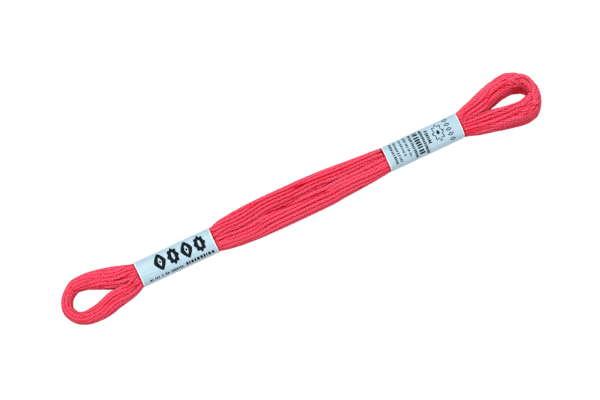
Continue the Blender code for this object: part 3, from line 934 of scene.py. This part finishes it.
def ringMark(end, x, y, halfX, halfS, power, stroke, points=0, depth=0.0):
    # A superellipse with an opening of its own form. Power 2 is an oval and 1 a lozenge. With points,
    # its edge goes in and out that many times, as a star's does. A full stroke leaves a pinprick open.
    angle = np.linspace(0, math.tau, marks["ringPoints"], endpoint=False)
    reach = powerSum(np.cos(angle), np.sin(angle), power) ** (-1 / power)
    if points:
        saw = np.abs(np.mod(angle * points / math.tau, 1.0) * 2 - 1)
        reach = reach * (1 - depth * (1 - saw))
    share = np.linspace(0, 1, marks["ringRows"])[:, None]
    pinprick = 0.02
    openX, openS = max(halfX - stroke, pinprick), max(halfS - stroke, pinprick)
    gridX = x + (halfX + (openX - halfX) * share) * reach * np.cos(angle)
    gridT = acrossTop(y) - (halfS + (openS - halfS) * share) * reach * np.sin(angle)
    return markPatch(end, gridX, gridT, True)


def barMark(end, x, t, halfX, halfS):
    # A plain bar: a rectangle on the paper
    share = np.linspace(-1, 1, marks["barPoints"])
    gridX, gridT = np.broadcast_arrays((x + halfX * share)[:, None], (t + halfS * share)[None, :])
    return markPatch(end, gridX, gridT, False)


def markPatch(end, gridX, gridT, closed):
    # The paper's face at each point of the grid, a little proud of it, and again under it
    outer = paperPoint(end, gridX, gridT, marks["proud"])
    inner = paperPoint(end, gridX, gridT, -marks["sunk"])
    return sheetPatch(outer, inner, closed)


def joinPatches(name, patches, material):
    # All marks of a band in one mesh
    points, faces, base = [], [], 0
    for patchPoints, patchFaces, _ in patches:
        points.append(patchPoints)
        faces.append(patchFaces + base)
        base += len(patchPoints)
    piece = newMesh(name, np.concatenate(points), np.concatenate(faces), [material])
    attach(piece, "root")


def makeLeftPrint(ink):
    # Four bold figures along the band, lozenge and eight-pointed star by turns, and ticks under them
    patches, figures = [], (("boldLozenge", "lozengeEye"), ("boldStar",))
    for k, x in enumerate(marks["boldX"]):
        for figure in figures[k % 2]:
            patches.append(ringMark(-1, x, marks["boldY"], *marks[figure]))
    rng = np.random.default_rng(5)
    for start, stop, y, half in marks["small"]:
        x = start
        while x < stop:
            length = rng.uniform(*marks["smallLengths"]) * half
            halfS = half * rng.uniform(*marks["heights"])
            patches.append(barMark(-1, x + length / 2, acrossTop(y), length / 2, halfS))
            x += length + half * rng.uniform(*marks["smallGaps"])
            x += marks["wordGap"] if rng.random() < marks["wordChance"] else 0
    joinPatches("left_band_print", patches, ink)


def makeRightPrint(ink):
    # Rows of ticks of uneven length that run over the band, as small print looks from a step away, then
    # an eight-pointed stitch star and a column of lozenges
    rng = np.random.default_rng(8)
    patches = []
    for x, start, stop, half, tick, gap in marks["rows"]:
        t, last = acrossTop(start), acrossTop(stop)
        while t < last:
            length = tick * rng.uniform(*marks["rowLengths"])
            middle = x + rng.uniform(-marks["rowStray"], marks["rowStray"])
            halfX = half * rng.uniform(*marks["heights"])
            patches.append(barMark(1, middle, t + length / 2, halfX, length / 2))
            t += length + gap * rng.uniform(*marks["rowGaps"])
            t += gap if rng.random() < marks["wordChance"] else 0
    patches.append(ringMark(1, *marks["starPlace"], *marks["star"]))
    patches.append(ringMark(1, *marks["starPlace"], *marks["starEye"]))
    x, start, stop, count = marks["stitchColumn"]
    for y in np.linspace(start, stop, count):
        patches.append(ringMark(1, x, y, *marks["stitch"]))
    joinPatches("right_band_print", patches, ink)


makeFloss()
paper, core, ink = labelPaper(), cutPaper(), printersInk()
makeBand("left_band_paper", "left_paper_band", -1, [paper, core])
makeBand("right_band_paper", "right_paper_band", 1, [paper, core])
makeLeftPrint(ink)
makeRightPrint(ink)
print("bands wrapped and printed")


studio = {
    "floor": "#6e6e6e",
    "floorHalf": 2500.0,
    "floorDrop": 0.02,  # millimetres under the skein
    "floorGlow": 0.97,  # the card is lit from under, so that nothing shades it
    "world": 0.33,
    # name, place in metres, size, watts
    "lights": (
        ("overhead softbox", (-0.2, 0.32, 1.0), 0.6, 11.6),
        ("front fill", (0.35, -0.6, 0.95), 0.9, 5.4),
    ),
}


def makeStudio():
    # A flat white card, two soft lamps that face the origin, and an even white sky
    white = (1.0, 1.0, 1.0, 1.0)
    settings = {"Base Color": hexColour(studio["floor"]), "Roughness": 1.0, "Specular IOR Level": 0.0}
    settings |= {"Emission Color": white, "Emission Strength": studio["floorGlow"]}
    card, _, _ = newMaterial("white card floor", settings)
    half = studio["floorHalf"]
    corners = np.array([(-half, -half, 0), (half, -half, 0), (half, half, 0), (-half, half, 0)])
    floor = newMesh("floor", corners, np.array([[0, 1, 2, 3]]), [card])
    floor.location.z = -studio["floorDrop"] * mm
    for name, place, size, watts in studio["lights"]:
        lamp = bpy.data.lights.new(name, "AREA")
        lamp.energy = watts
        lamp.size = size
        light = bpy.data.objects.new(name, lamp)
        light.location = place
        away = math.hypot(place[0], place[1])
        light.rotation_euler = (math.atan2(away, place[2]), 0.0, math.atan2(place[0], -place[1]))
        bpy.context.scene.collection.objects.link(light)
    world = bpy.data.worlds.new("studio")
    world.use_nodes = True
    sky = world.node_tree.nodes["Background"]
    sky.inputs["Color"].default_value = white
    sky.inputs["Strength"].default_value = studio["world"]
    bpy.context.scene.world = world
    bpy.context.scene.view_settings.view_transform = "Standard"


makeStudio()
print("studio lit")
